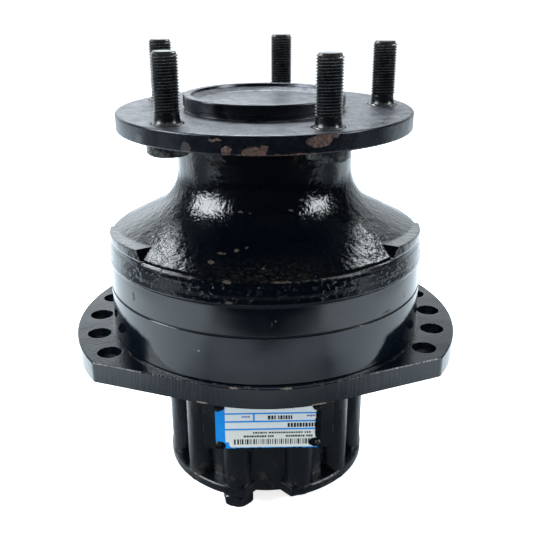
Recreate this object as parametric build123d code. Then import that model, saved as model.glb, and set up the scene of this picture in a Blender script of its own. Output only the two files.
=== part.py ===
from build123d import *
import os
from math import asin, atan, cos, degrees, hypot, radians, sin, tan

# Radial-piston hydraulic wheel motor. Millimetres, +Z along the shaft towards the wheel.
# Origin: on the shaft axis, in the plane of the chassis plate's mounting face.

os.makedirs("parts", exist_ok=True)

# ---- driving dimensions ----
# chassis plate
PLATE_R, PLATE_THICK, PLATE_CORNER_R = 116.4, 12.0, 4.0
FLAT_R, FLAT_ANGLE = 95.3, 21.6          # the V-shaped flats are tangent to this circle
SPIGOT_R, SPIGOT_HIGH = 95.0, 1.0        # raised ring that centres the chassis bracket
CHASSIS_HOLE_R, CHASSIS_PCR = 7.0, 103.5
CHASSIS_ANGLES = [side + step * 15 for side in (0, 180) for step in range(-2, 3)]
PLATE_RECESS_R, PLATE_RECESS_DEEP = 68.0, 3.0

# cam ring
CAM_R, CAM_LOW, CAM_HIGH = 93.7, 1.0, 28.3
LOBES, LOBE_MEAN_R, LOBE_WAVE = 6, 79.75, 3.25
LOBE_POINTS = 12                         # spline points on each lobe

# bearing support casting
WALL_R, NECK_R, NECK_TOP = 93.4, 50.8, 117.0
CAST_LOW, CAST_R, SHOULDER_R, SHOULDER_Z = 45.0, 93.9, 92.3, 58.2
SLOPE_TOP_Z, NECK_FILLET, SHOULDER_FILLET = 79.9, 28.4, 3.0
CUP_R, CUP_SHOULDER_R, SEAL_R = 40.0, 36.0, 42.0
CUP_SHOULDER_LOW, CUP_SHOULDER_HIGH, SEAL_SEAT = 66.0, 88.0, 108.0
FRONT_SHOULDER_R = 92.8
PAD_R, PAD_INNER_R, PAD_TOP, PAD_INNER_TOP, PAD_FOOT_Z = 92.0, 82.0, 64.4, 64.1, 57.6
PAD_FROM, PAD_FOOT, PAD_TO, PAD_TILT = 49.4, 44.9, 88.0, 4.8   # degrees, from the front

# joint screws of plate, cam ring and support
JOINT_PCR, JOINT_OFFSET, JOINT_R, JOINT_LONG = 85.6, 7.5, 4.0, 48.0
HEAD_R, HEAD_HIGH, HEX_SOCKET = 6.5, 8.0, 6.0
DOWEL_R = 3.0

# distribution cover
COVER_BASE_R, COVER_LOW, RIM_R, RIM_HIGH = 54.5, -95.0, 63.2, 6.0
COLUMN_R, COLUMN_PCR = 9.6, 53.7
COLUMN_ANGLES = [side * (20 + 28 * step) for step in range(6) for side in (-1, 1)]
PLUG_COLUMNS = (-20, 104, -132)          # columns that carry the hex screw plugs
LABEL_PAD_WIDE, LABEL_PAD_LOW, LABEL_PAD_Y, LABEL_PAD_CORNER = 75.4, -58.7, -62.2, 4.5
PORT_PAD_WIDE, PORT_PAD_Y, PORT_PAD_LOW, PORT_PAD_HIGH = 90.0, 71.0, -78.0, -22.0
PORT_R, PORT_X, PORT_Z, PORT_DEEP = 9.4, 29.5, -50.0, 14.5
DRAIN_R, DRAIN_Z, DRAIN_DEEP = 6.4, -32.0, 13.5
GALLERY_END_Y = 16.0                      # where the port galleries meet the valve bore
VALVE_STEPS = ((43.9, -30.0), (37.9, -45.0), (31.9, -60.0))   # radius, lower end
NOTCH_R, NOTCH_HALF_ANGLE, NOTCH_END_ANGLE = 53.4, 7.0, 18.0

# name plate
NAME_WIDE, NAME_HIGH, NAME_THICK, NAME_LOW = 61.0, 31.0, 0.8, -58.4
RIVET_X, RIVET_Z, RIVET_R = 28.9, (-31.7, -54.9), 1.6

# wheel shaft
FLANGE_R, FLANGE_LOW, FLANGE_HIGH = 84.5, 119.3, 129.0
PILOT_R, PILOT_HIGH, PILOT_BORE_R, DISH_R, DISH_Z = 46.3, 137.35, 41.8, 37.5, 133.4
JOURNAL_R, SHAFT_R, THREAD_R, SPLINE_R, SPLINE_DEEP = 32.0, 25.0, 24.0, 22.0, 2.0
SPLINE_TEETH, SPLINE_TOP, SHAFT_LOW = 20, 34.0, -0.5
NUT_LOW, NUT_HIGH, WASHER_HIGH = 36.0, 44.5, 46.0

# wheel studs
STUD_COUNT, STUD_PCR, STUD_FIRST, STUD_R = 5, 70.0, 7.8, 7.0
STUD_TOP, COLLAR_TOP, COLLAR_R, COLLAR_NECK_R = 164.65, 134.0, 8.05, 6.4
STUD_HEAD_R, STUD_HEAD_HIGH, STUD_HOLE_R, STUD_TIP_R = 11.5, 6.2, 8.8, 5.45

# tapered roller bearings, 50 x 80 x 20
BEARING_WIDE, CUP_WIDE, PITCH_R, TAPER = 20.0, 15.5, 32.7, 14.0
ROLLERS, ROLLER_R, ROLLER_LONG, ROLLER_GAP = 20, 3.9, 12.5, 0.04

# cylinder block and pistons
BLOCK_R, BLOCK_LOW, BLOCK_HIGH, BORE_Z = 66.5, -1.5, 30.8, 14.65
PISTONS, PISTON_FIRST, BORE_R, FIT = 8, 7.5, 12.0, 0.03
PISTON_IN, PISTON_OUT, CAM_ROLLER_R, CAM_ROLLER_LONG, CAM_ROLLER_AT = 43.0, 68.9, 8.0, 16.6, 68.2
RING_AT, RING_WIDE, RING_DEEP = 52.0, 2.0, 1.6
FEED_R, FEED_PCR = 3.6, 39.0


# ---- helpers ----
def around(radius, angle, z=0.0):
    """Point at an angle about Z, measured from +X."""
    return Vector(radius * cos(radians(angle)), radius * sin(radians(angle)), z)


def from_front(radius, angle, z=0.0):
    """Point at an angle from the front of the motor (-Y), positive towards +X."""
    return around(radius, angle - 90, z)


def rod(radius, low, high, at=(0.0, 0.0)):
    """Upright cylinder between two heights."""
    align = (Align.CENTER, Align.CENTER, Align.MIN)
    return Pos(at[0], at[1], low) * Cylinder(radius, high - low, align=align)


def tube(outer, inner, low, high):
    return rod(outer, low, high) - rod(inner, low - 1, high + 1)


def outline(*corners):
    """Closed face in the XZ plane. A corner is (x, z) or (x, z, rounding radius)."""
    points = [Vector(c[0], 0, c[1]) for c in corners]
    edges, ends = [], []
    for i, corner in enumerate(corners):
        here, back, ahead = points[i], points[i - 1], points[(i + 1) % len(points)]
        if len(corner) == 2:
            ends.append((here, here))
            continue
        to_back, to_ahead = (back - here).normalized(), (ahead - here).normalized()
        half = radians(to_back.get_angle(to_ahead)) / 2
        reach = corner[2] / tan(half)
        first, last = here + to_back * reach, here + to_ahead * reach
        middle = here + (to_back + to_ahead).normalized() * (corner[2] / sin(half) - corner[2])
        edges.append(ThreePointArc(first, middle, last))
        ends.append((first, last))
    for i, (first, _) in enumerate(ends):
        if (ends[i - 1][1] - first).length > 1e-6:
            edges.append(Line(ends[i - 1][1], first))
    return Face(Wire(edges))


def turned(*corners):
    """Solid of revolution about Z."""
    return revolve(outline(*corners), Axis.Z)


def ringed(shape, count, first=0.0):
    """Copies of a shape, evenly spaced about Z."""
    return [Rot(0, 0, first + i * 360 / count) * shape for i in range(count)]


def group(shapes):
    return Compound(children=[piece for shape in shapes for piece in shape.solids()])


def hex_prism(across_flats, low, high):
    side = RegularPolygon(across_flats / 2, 6, major_radius=False)
    return Pos(0, 0, low) * extrude(side, high - low)


def socket_screw(radius, top, head_top, head_radius, head_high, socket):
    """Cap screw pointing up: head from head_top down, shank up to top."""
    head = rod(head_radius, head_top - head_high, head_top)
    head = chamfer(head.edges().sort_by(Axis.Z)[0], 0.6)
    shank = rod(radius, head_top, top)
    shank = chamfer(shank.edges().sort_by(Axis.Z)[-1], 0.8)
    return head + shank - hex_prism(socket, head_top - head_high - 1, head_top - head_high / 2)


# ---- where repeated features sit ----
JOINT_ANGLES = [k * 60 + side * JOINT_OFFSET for k in range(LOBES) for side in (-1, 1)]
SCREW_COLUMNS = [a for a in COLUMN_ANGLES if a not in PLUG_COLUMNS]
JOINT_TOP = -PLATE_THICK + HEAD_HIGH + JOINT_LONG


def at_joints(shape):
    return [Rot(0, 0, a) * Pos(JOINT_PCR, 0, 0) * shape for a in JOINT_ANGLES]


def at_dowels(shape):
    return [Rot(0, 0, a) * Pos(JOINT_PCR, 0, 0) * shape for a in (0, 180)]


def at_columns(shape, angles):
    return [Rot(0, 0, a - 90) * Pos(COLUMN_PCR, 0, 0) * shape for a in angles]


# ---- housing ----
def mounting_plate():
    apex = FLAT_R / cos(radians(FLAT_ANGLE))
    wide = PLATE_R + 10
    edge = (wide * sin(radians(FLAT_ANGLE)) - FLAT_R) / cos(radians(FLAT_ANGLE))
    half = [(0, -apex), (wide, edge), (wide, -edge)]
    sketch = make_face(Polyline(*half, *[(-x, -y) for x, y in half], close=True))
    sketch = fillet([v for v in sketch.vertices() if abs(v.X) < 0.01], FLAT_R)
    sketch = sketch & Circle(PLATE_R)
    corners = [v for v in sketch.vertices() if hypot(v.X, v.Y) > PLATE_R - 0.01 and abs(v.Y) > 1]
    sketch = fillet(corners, PLATE_CORNER_R)
    plate = Pos(0, 0, -PLATE_THICK) * extrude(sketch, PLATE_THICK)
    plate = chamfer(plate.edges().group_by(Axis.Z)[-1], 0.6)
    plate += rod(SPIGOT_R, -1, SPIGOT_HIGH)
    plate -= rod(VALVE_STEPS[0][0] + 2, -PLATE_THICK - 1, SPIGOT_HIGH + 1)
    plate -= rod(PLATE_RECESS_R, -PLATE_RECESS_DEEP, SPIGOT_HIGH + 1)
    hole = rod(CHASSIS_HOLE_R, -PLATE_THICK - 1, 1)
    plate -= [Rot(0, 0, a) * Pos(CHASSIS_PCR, 0, 0) * hole for a in CHASSIS_ANGLES]
    passage = rod(JOINT_R + 0.3, -PLATE_THICK - 1, SPIGOT_HIGH + 1)
    passage += rod(HEAD_R + 0.4, -PLATE_THICK - 1, -PLATE_THICK + HEAD_HIGH)
    plate -= at_joints(passage)
    plate -= at_dowels(rod(DOWEL_R + FIT, -6, SPIGOT_HIGH + 1))
    plate -= at_columns(rod(JOINT_R + FIT, -PLATE_THICK - 1, -PLATE_RECESS_DEEP - 1), SCREW_COLUMNS)
    plate -= seal_groove(SPIGOT_HIGH)
    return plate


def lobe_radius(angle):
    return LOBE_MEAN_R - LOBE_WAVE * cos(radians(LOBES * angle))


def cam_ring():
    steps = LOBES * LOBE_POINTS
    track = [around(lobe_radius(i * 360 / steps), i * 360 / steps) for i in range(steps)]
    inside = make_face(Spline(*track, periodic=True))
    ring = rod(CAM_R, CAM_LOW, CAM_HIGH)
    ring = chamfer(ring.edges().filter_by(GeomType.CIRCLE), 0.4)
    ring -= Pos(0, 0, CAM_LOW - 1) * extrude(inside, CAM_HIGH - CAM_LOW + 2)
    ring -= at_joints(rod(JOINT_R + 0.3, CAM_LOW - 1, CAM_HIGH + 1))
    ring -= at_dowels(rod(DOWEL_R + FIT, CAM_LOW - 1, CAM_HIGH + 1))
    return ring


def seal_groove(face_z, section=0.75, radius=91.0):
    """Ring-shaped groove cut down into an upward face for a thin O-ring."""
    return tube(radius + section, radius - section, face_z - 1.2, face_z)


def bearing_support():
    body = turned(
        (CUP_R, 37), (CUP_R, CUP_SHOULDER_LOW), (CUP_SHOULDER_R, CUP_SHOULDER_LOW),
        (CUP_SHOULDER_R, CUP_SHOULDER_HIGH), (CUP_R, CUP_SHOULDER_HIGH), (CUP_R, SEAL_SEAT),
        (SEAL_R, SEAL_SEAT), (SEAL_R, NECK_TOP), (NECK_R, NECK_TOP, 1.5),
        (NECK_R, SLOPE_TOP_Z, NECK_FILLET), (SHOULDER_R, SHOULDER_Z, SHOULDER_FILLET),
        (CAST_R, CAST_LOW + 1, 0.8), (WALL_R, CAST_LOW), (WALL_R, CAM_HIGH), (70, CAM_HIGH),
        (70, 50, 4), (50, 50, 4), (50, 37, 2),
    )
    body += front_shoulder()
    for side in (-1, 1):
        body += corner_pad(side)
    body -= at_joints(rod(JOINT_R + FIT, CAM_HIGH - 1, JOINT_TOP + 2))
    body -= at_dowels(rod(DOWEL_R + FIT, CAM_HIGH - 1, CAM_HIGH + 12))
    body -= Rot(180, 0, 0) * seal_groove(-CAM_HIGH)
    return body


def front_shoulder():
    """Sharp-edged shoulder of the casting between the two corner pads."""
    slope = (SLOPE_TOP_Z - SHOULDER_Z) / (SHOULDER_R - NECK_R)
    wide = 14
    face = outline(
        (SHOULDER_R - wide, 50), (CAST_R - 0.3, 50), (FRONT_SHOULDER_R, SHOULDER_Z, 0.6),
        (SHOULDER_R - wide, SHOULDER_Z + slope * wide),
    )
    half = PAD_FROM - 1
    return Rot(0, 0, -90 - half) * revolve(face, Axis.Z, 2 * half)


def corner_pad(side):
    """Land standing up from the shoulder: flat top that sinks towards the side, drafted step at its front."""
    corner = from_front(PAD_R, side * PAD_FROM, PAD_TOP)
    vertex = from_front(PAD_INNER_R, side * PAD_FROM, PAD_INNER_TOP)
    foot = from_front(FRONT_SHOULDER_R, side * PAD_FOOT, PAD_FOOT_Z)
    high = PAD_TOP + 2
    ring = outline((70, CAST_LOW + 5), (CAST_R - 0.4, CAST_LOW + 5), (PAD_R - 0.2, high), (70, high))
    span = PAD_TO - PAD_FOOT
    land = Rot(0, 0, side * (PAD_FOOT + span / 2) - span / 2 - 90) * revolve(ring, Axis.Z, span)
    reach = 200
    over = Pos(0, corner.Y, PAD_TOP) * Rot(-PAD_TILT, 0, 0) * Box(
        reach, reach, 30, align=(Align.CENTER, Align.CENTER, Align.MIN)
    )
    step = Plane(origin=corner, x_dir=vertex - corner, z_dir=(vertex - corner).cross(foot - corner) * side)
    front = step * Box(reach, reach, 60, align=(Align.CENTER, Align.CENTER, Align.MIN))
    return land - over - front


def distribution_cover():
    top = -PLATE_THICK
    cover = rod(COVER_BASE_R, COVER_LOW, top)
    column = Pos(0, 0, COVER_LOW) * Cone(
        COLUMN_R - 0.5, COLUMN_R, top - COVER_LOW, align=(Align.CENTER, Align.CENTER, Align.MIN)
    )
    cover += at_columns(column, COLUMN_ANGLES)
    rim = chamfer(rod(RIM_R, COVER_LOW, COVER_LOW + RIM_HIGH).edges(), 0.8)
    cover += rim - rim_notch()
    cover += label_pad() + port_pad()
    low = top + 1
    for radius, step_low in VALVE_STEPS:
        cover -= rod(radius + 0.1, step_low - 1.2, low)
        low = step_low
    cover -= rod(34, COVER_LOW - 1, COVER_LOW + 14)
    pocket = rod(HEAD_R + 0.3, COVER_LOW - 1, COVER_LOW + 10) + rod(JOINT_R + 0.3, COVER_LOW, top + 1)
    cover -= at_columns(pocket, SCREW_COLUMNS)
    cover -= at_columns(rod(6 + FIT, COVER_LOW - 1, COVER_LOW + 16), PLUG_COLUMNS)
    cover -= tube(48.4, 46.2, top - 1.4, top)
    for x in (-PORT_X, PORT_X):
        cover -= port_bore(x, PORT_Z, PORT_R, PORT_DEEP, 5.0)
    cover -= port_bore(0, DRAIN_Z, DRAIN_R, DRAIN_DEEP, 3.0)
    cover -= [Pos(x, LABEL_PAD_Y, z) * Rot(90, 0, 0) * Cylinder(1.2, 8) for x, z in rivet_places()]
    return cover


def rim_notch():
    """Wedge left out of the rim between the two front columns."""
    points = [
        from_front(NOTCH_R, -NOTCH_HALF_ANGLE), from_front(RIM_R + 12, -NOTCH_END_ANGLE),
        from_front(RIM_R + 12, NOTCH_END_ANGLE), from_front(NOTCH_R, NOTCH_HALF_ANGLE),
    ]
    plan = make_face(Polyline(*[(p.X, p.Y) for p in points], close=True))
    inner = [v for v in plan.vertices() if v.Y > -NOTCH_R]
    return Pos(0, 0, COVER_LOW - 1) * extrude(fillet(inner, 2.5), RIM_HIGH + 2)


def label_pad():
    """Flat boss for the name plate on the front of the cover."""
    high = -PLATE_THICK - LABEL_PAD_LOW
    block = Box(LABEL_PAD_WIDE, -LABEL_PAD_Y - 40, high, align=(Align.CENTER, Align.MIN, Align.MIN))
    block = fillet(block.edges().filter_by(Axis.Y).group_by(Axis.Z)[0], LABEL_PAD_CORNER)
    return Pos(0, LABEL_PAD_Y, LABEL_PAD_LOW) * block


def port_pad():
    """Machined boss for the hydraulic ports on the back of the cover."""
    align = (Align.CENTER, Align.MAX, Align.MIN)
    block = Box(PORT_PAD_WIDE, PORT_PAD_Y - 40, PORT_PAD_HIGH - PORT_PAD_LOW, align=align)
    block = fillet(block.edges().filter_by(Axis.Y), 8)
    return Pos(0, PORT_PAD_Y, PORT_PAD_LOW) * block


def port_bore(x, z, radius, deep, gallery_r):
    """Threaded port with a shallow spot face and a narrower gallery on to the valve bore."""
    def hole(size, depth):
        align = (Align.CENTER, Align.CENTER, Align.MIN)
        return Pos(x, PORT_PAD_Y, z) * Rot(90, 0, 0) * Cylinder(size, depth, align=align)
    return hole(radius, deep) + hole(radius + 5, 0.6) + hole(gallery_r, PORT_PAD_Y - GALLERY_END_Y)


def rivet_places():
    return [(x, z) for x in (-RIVET_X, RIVET_X) for z in RIVET_Z]


def name_plate():
    align = (Align.CENTER, Align.MAX, Align.MIN)
    plate = Box(NAME_WIDE, NAME_THICK, NAME_HIGH, align=align)
    plate = fillet(plate.edges().filter_by(Axis.Y), 1.2)
    plate = Pos(0, LABEL_PAD_Y, NAME_LOW) * plate
    return plate - [Pos(x, LABEL_PAD_Y, z) * Rot(90, 0, 0) * Cylinder(1.25, 8) for x, z in rivet_places()]


def name_plate_rivets():
    face = LABEL_PAD_Y - NAME_THICK
    dome = Sphere(RIVET_R + 0.4) & Pos(0, 0, 3) * Box(9, 9, 6)
    dome = Pos(0, 0, -1.0) * dome & Pos(0, 0, 3) * Box(9, 9, 6)
    rivet = dome + rod(1.2, -NAME_THICK - 3, 0.2)
    return group([Pos(x, face, z) * Rot(90, 0, 0) * rivet for x, z in rivet_places()])


def cover_screws():
    screw = socket_screw(JOINT_R, -PLATE_RECESS_DEEP - 1.2, COVER_LOW + 10, HEAD_R, HEAD_HIGH, HEX_SOCKET)
    return group(at_columns(screw, SCREW_COLUMNS))


def joint_screws():
    screw = socket_screw(JOINT_R, JOINT_TOP, -PLATE_THICK + HEAD_HIGH, HEAD_R, HEAD_HIGH, HEX_SOCKET)
    return group(at_joints(screw))


def plug_screws():
    head = hex_prism(17.0, COVER_LOW - 8.4, COVER_LOW - 1.6)
    head = head & Pos(0, 0, COVER_LOW - 5) * chamfer(Cylinder(9.7, 6.8).edges(), 0.9)
    plug = rod(8.4, COVER_LOW - 2.0, COVER_LOW - 1.5) + head + rod(6.0, COVER_LOW - 1.6, COVER_LOW + 13)
    return group(at_columns(Rot(0, 0, 30) * plug, PLUG_COLUMNS))


def plug_washers():
    return group(at_columns(tube(9.0, 6.1, COVER_LOW - 1.5, COVER_LOW), PLUG_COLUMNS))


def distribution_valve():
    """Stepped port ring pressed up against the cylinder block."""
    valve = rod(VALVE_STEPS[0][0], VALVE_STEPS[0][1] + 4, BLOCK_LOW - 0.05)
    high = VALVE_STEPS[0][1] + 4
    for radius, step_low in VALVE_STEPS[1:]:
        valve += rod(radius, step_low + 4, high)
        high = step_low + 4
    valve -= rod(14, -70, 5)
    valve -= ringed(Pos(FEED_PCR, 0, 0) * rod(FEED_R, -14, 5), 2 * LOBES, 15)
    for radius, step_low in VALVE_STEPS:
        valve -= tube(radius + 1, radius - 2.4, step_low + 8, step_low + 11)
    valve -= ringed(Pos(22, 0, 0) * rod(4.2, -70, -44), 4)
    return valve


def valve_seals():
    return group([tube(r + 0.02, r - 2.3, low + 8.1, low + 10.9) for r, low in VALVE_STEPS])


def valve_springs():
    """Four coil springs between the cover and the valve."""
    low, high = -60.4, -44.8
    path = Helix(pitch=3.3, height=high - low - 1.6, radius=3.0)
    wire = Plane(origin=path @ 0, z_dir=path % 0) * Circle(0.75)
    coil = Pos(0, 0, low + 0.8) * sweep(wire, path=path, is_frenet=True)
    return group(ringed(Pos(22, 0, 0) * coil, 4))


def torus_seal(radius, section, z):
    return Pos(0, 0, z) * Torus(radius, section)


def joint_seals():
    return group([torus_seal(91.0, 0.6, CAM_LOW - 0.6), torus_seal(91.0, 0.6, CAM_HIGH + 0.6)])


def cover_seal():
    return torus_seal(47.3, 0.7, -PLATE_THICK - 0.7)


def shaft_seal_case():
    return turned((SEAL_R, 108.5), (SEAL_R, 115.5), (40.5, 115.5), (40.5, 110), (35.5, 110), (35.5, 108.5))


def shaft_seal_lip():
    return turned(
        (JOURNAL_R + 0.08, 111), (34.0, 110), (40.5, 110), (40.5, 115.5), (38.5, 115.5), (38.5, 112.5),
        (35.0, 112.5), (JOURNAL_R + 0.9, 114.5), (JOURNAL_R + 0.08, 113.5),
    )


def dowel_pins():
    pin = chamfer(rod(DOWEL_R, -5.8, CAM_HIGH + 11).edges().filter_by(GeomType.CIRCLE), 0.5)
    return group(at_dowels(pin))


# ---- tapered roller bearings, drawn with the small end at z = 0 ----
PITCH_Z = 9.0
APEX_Z = PITCH_Z - PITCH_R / tan(radians(TAPER))
APEX_REACH = PITCH_R / sin(radians(TAPER))
ROLLER_TAPER = degrees(atan(ROLLER_R / APEX_REACH))


def race_radius(z, outer):
    angle = TAPER + ROLLER_TAPER if outer else TAPER - ROLLER_TAPER
    return (z - APEX_Z) * tan(radians(angle))


def bearing_cup():
    return turned(
        (CUP_R, 0), (CUP_R, CUP_WIDE), (race_radius(CUP_WIDE, True), CUP_WIDE), (race_radius(0, True), 0),
    )


def bearing_cone():
    rib = 16.4
    return turned(
        (SHAFT_R, 0), (28.2, 0), (28.2, 1.8), (race_radius(1.8, False), 1.8),
        (race_radius(rib, False), rib), (32.2, rib), (32.2, BEARING_WIDE), (SHAFT_R, BEARING_WIDE),
    )


def taper_roller(gap, extra=0.0):
    """One roller, leaning outwards in the XZ plane; gap shrinks its radius."""
    half = ROLLER_LONG / 2 + extra
    widen = half * tan(radians(ROLLER_TAPER))
    roller = Cone(ROLLER_R - gap - widen, ROLLER_R - gap + widen, 2 * half)
    return Pos(PITCH_R, 0, PITCH_Z) * Rot(0, TAPER, 0) * roller


def bearing_rollers():
    return ringed(taper_roller(ROLLER_GAP), ROLLERS)


def bearing_cage():
    """Thin cone with a window for each roller."""
    lean = radians(TAPER)

    def on_cage(along, off):
        x = (APEX_REACH + along) * sin(lean) + off * cos(lean)
        z = APEX_Z + (APEX_REACH + along) * cos(lean) - off * sin(lean)
        return x, z

    shell = turned(on_cage(-8.2, 0.4), on_cage(8.2, 0.4), on_cage(8.2, 1.6), on_cage(-8.2, 1.6))
    return shell - ringed(taper_roller(-0.12, 0.2), ROLLERS)


def place_front(shape):
    return Pos(0, 0, CUP_SHOULDER_HIGH) * shape


def place_rear(shape):
    return Pos(0, 0, CUP_SHOULDER_LOW) * Rot(180, 0, 0) * shape


# ---- turning parts ----
def splined(radius, deep, low, high):
    """Shaft section with straight-sided teeth."""
    tooth = Box(deep + 1, 3.2, high - low, align=(Align.MAX, Align.CENTER, Align.MIN))
    teeth = ringed(Pos(radius, 0, low) * tooth, SPLINE_TEETH)
    core = rod(radius - deep, low, high)
    return (core + teeth) & rod(radius, low, high)


def wheel_shaft():
    shaft = turned(
        (0, SHAFT_LOW), (SPLINE_R - SPLINE_DEEP, SHAFT_LOW), (SPLINE_R - SPLINE_DEEP, SPLINE_TOP),
        (THREAD_R - 1.2, SPLINE_TOP), (THREAD_R - 1.2, NUT_LOW), (THREAD_R, NUT_LOW), (THREAD_R, WASHER_HIGH),
        (SHAFT_R, WASHER_HIGH), (SHAFT_R, CUP_SHOULDER_LOW + 2), (SHAFT_R - 1, CUP_SHOULDER_LOW + 4),
        (SHAFT_R - 1, CUP_SHOULDER_HIGH - 4), (SHAFT_R, CUP_SHOULDER_HIGH - 2), (SHAFT_R, SEAL_SEAT),
        (JOURNAL_R, SEAL_SEAT, 0.6), (JOURNAL_R, 117.6), (39, 117.6, 2), (39, FLANGE_LOW),
        (FLANGE_R, FLANGE_LOW, 0.9), (FLANGE_R, FLANGE_HIGH, 1.1), (PILOT_R - 0.7, FLANGE_HIGH, 0.5),
        (PILOT_R - 0.7, FLANGE_HIGH + 2.1), (PILOT_R, FLANGE_HIGH + 2.6), (PILOT_R, PILOT_HIGH, 0.9),
        (PILOT_BORE_R, PILOT_HIGH, 0.5), (PILOT_BORE_R - 0.6, PILOT_HIGH - 1.6), (DISH_R, DISH_Z, 2.0),
        (0, DISH_Z),
    )
    shaft += splined(SPLINE_R, SPLINE_DEEP, SHAFT_LOW + 3.5, SPLINE_TOP)
    shaft -= tube(SPLINE_R, SPLINE_R - SPLINE_DEEP - 1.2, SHAFT_LOW + 0.7, SHAFT_LOW + 2.9)
    seat = rod(COLLAR_R, FLANGE_LOW - 1, FLANGE_HIGH + 1) + rod(STUD_HOLE_R, FLANGE_HIGH - 4, FLANGE_HIGH + 1)
    return shaft - ringed(Pos(STUD_PCR, 0, 0) * seat, STUD_COUNT, STUD_FIRST)


def wheel_studs():
    head_low = FLANGE_LOW - STUD_HEAD_HIGH
    profile = Wire([
        Line((0, 0, head_low), (STUD_HEAD_R - 1.2, 0, head_low)),
        Line((STUD_HEAD_R - 1.2, 0, head_low), (STUD_HEAD_R, 0, head_low + 1.2)),
        Line((STUD_HEAD_R, 0, head_low + 1.2), (STUD_HEAD_R, 0, FLANGE_LOW)),
        Line((STUD_HEAD_R, 0, FLANGE_LOW), (COLLAR_R - 0.02, 0, FLANGE_LOW)),
        Line((COLLAR_R - 0.02, 0, FLANGE_LOW), (COLLAR_R - 0.02, 0, FLANGE_HIGH)),
        ThreePointArc(
            (COLLAR_R - 0.02, 0, FLANGE_HIGH), (COLLAR_NECK_R + 0.45, 0, FLANGE_HIGH + 2.2),
            (COLLAR_NECK_R, 0, COLLAR_TOP),
        ),
        Line((COLLAR_NECK_R, 0, COLLAR_TOP), (STUD_R, 0, COLLAR_TOP + 0.6)),
        Line((STUD_R, 0, COLLAR_TOP + 0.6), (STUD_R, 0, STUD_TOP - 1.6)),
        Line((STUD_R, 0, STUD_TOP - 1.6), (STUD_TIP_R, 0, STUD_TOP)),
        Line((STUD_TIP_R, 0, STUD_TOP), (0, 0, STUD_TOP)),
        Line((0, 0, STUD_TOP), (0, 0, head_low)),
    ])
    stud = revolve(Face(profile), Axis.Z)
    return group(ringed(Pos(STUD_PCR, 0, 0) * stud, STUD_COUNT, STUD_FIRST))


def bearing_nut():
    nut = tube(33, THREAD_R, NUT_LOW, NUT_HIGH)
    nut = chamfer(nut.edges().filter_by(GeomType.CIRCLE).sort_by(SortBy.LENGTH)[-2:], 1.0)
    return nut - ringed(Pos(33, 0, NUT_LOW) * Box(6, 7, 8, align=(Align.CENTER, Align.CENTER, Align.MIN)), 4)


def lock_washer():
    washer = tube(31.5, THREAD_R, NUT_HIGH, WASHER_HIGH)
    return washer - ringed(Pos(31.5, 0, NUT_HIGH - 1) * rod(2.2, 0, 4), 11, 9)


def cylinder_block():
    block = rod(BLOCK_R, BLOCK_LOW, BLOCK_HIGH)
    block = chamfer(block.edges().filter_by(GeomType.CIRCLE), 0.8)
    block -= splined(SPLINE_R + 0.05, SPLINE_DEEP, BLOCK_LOW + 3.5, BLOCK_HIGH + 1)
    block -= rod(SPLINE_R + 0.1, BLOCK_LOW + 24, BLOCK_HIGH + 1) & rod(30, BLOCK_HIGH - 2, BLOCK_HIGH + 1)
    block -= rod(27, BLOCK_LOW - 1, BLOCK_LOW + 4.5)
    bore = Rot(0, 90, 0) * Cylinder(BORE_R, 60, align=(Align.CENTER, Align.CENTER, Align.MIN))
    block -= ringed(Pos(35, 0, BORE_Z) * bore, PISTONS, PISTON_FIRST)
    block -= ringed(Pos(FEED_PCR, 0, 0) * rod(FEED_R, BLOCK_LOW - 1, BORE_Z), PISTONS, PISTON_FIRST)
    return block


def retaining_ring():
    low = SHAFT_LOW + 0.8
    ring = tube(24.5, SPLINE_R - SPLINE_DEEP - 1.1, low, low + 2.0)
    return ring - Pos(0, 24, low) * Box(6, 12, 8)


def piston(angle):
    align = (Align.CENTER, Align.CENTER, Align.MIN)
    body = Rot(0, 90, 0) * Cylinder(BORE_R - FIT, PISTON_OUT - PISTON_IN, align=align)
    body = Pos(PISTON_IN, 0, BORE_Z) * chamfer(body.edges().filter_by(GeomType.CIRCLE), 0.5)
    groove = Pos(RING_AT, 0, BORE_Z) * Rot(0, 90, 0) * (
        Cylinder(BORE_R + 1, RING_WIDE + 0.1) - Cylinder(BORE_R - RING_DEEP - 0.1, RING_WIDE + 2)
    )
    bed = Pos(CAM_ROLLER_AT, 0, BORE_Z) * Cylinder(CAM_ROLLER_R + FIT, 40)
    return Rot(0, 0, angle) * (body - groove - bed)


def cam_roller(angle):
    roller = chamfer(Cylinder(CAM_ROLLER_R, CAM_ROLLER_LONG).edges().filter_by(GeomType.CIRCLE), 0.4)
    return Rot(0, 0, angle) * Pos(CAM_ROLLER_AT, 0, BORE_Z) * roller


def piston_ring(angle):
    ring = Cylinder(BORE_R - FIT, RING_WIDE) - Cylinder(BORE_R - RING_DEEP, RING_WIDE + 2)
    ring -= Pos(0, BORE_R, 0) * Box(0.6, 6, RING_WIDE + 1)
    return Rot(0, 0, angle) * Pos(RING_AT, 0, BORE_Z) * Rot(0, 90, 0) * ring


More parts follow.
